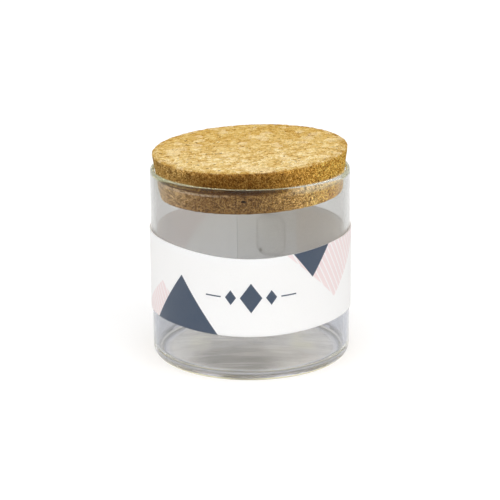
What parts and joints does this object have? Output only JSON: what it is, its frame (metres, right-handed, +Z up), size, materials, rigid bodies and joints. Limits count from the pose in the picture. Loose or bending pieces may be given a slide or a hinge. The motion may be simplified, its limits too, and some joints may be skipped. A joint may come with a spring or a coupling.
{
  "type": "glass jar with cork lid",
  "caption": "Straight-sided clear glass storage jar with a tapered cork lid that lifts off and a printed paper sleeve that slides up and down.",
  "frame": {"origin": "centre of the jar's foot, on the plane that it stands on", "axes": "+Z up along the jar's axis, -Y towards the printed front of the sleeve, +X to the right seen from the front"},
  "size_m": [0.0862, 0.0867, 0.0923],
  "materials": {
    "glass": "polished",
    "cork": "matte",
    "paper": "matte",
    "adhesive": "matte"
  },
  "bodies": {
    "jar": {"glass_jar": "glass"},
    "lid": {"cork_lid": "cork"},
    "sleeve": {"paper_sleeve": "paper", "glue_patch": "adhesive"}
  },
  "joints": [
    {"name": "lid_lift", "type": "slide", "parent": "jar", "child": "lid", "axis": [0, 0, 1], "range_m": [0, 0.05]},
    {"name": "sleeve_slide", "type": "slide", "parent": "jar", "child": "sleeve", "axis": [0, 0, 1], "range_m": [-0.02, 0.075]}
  ]
}
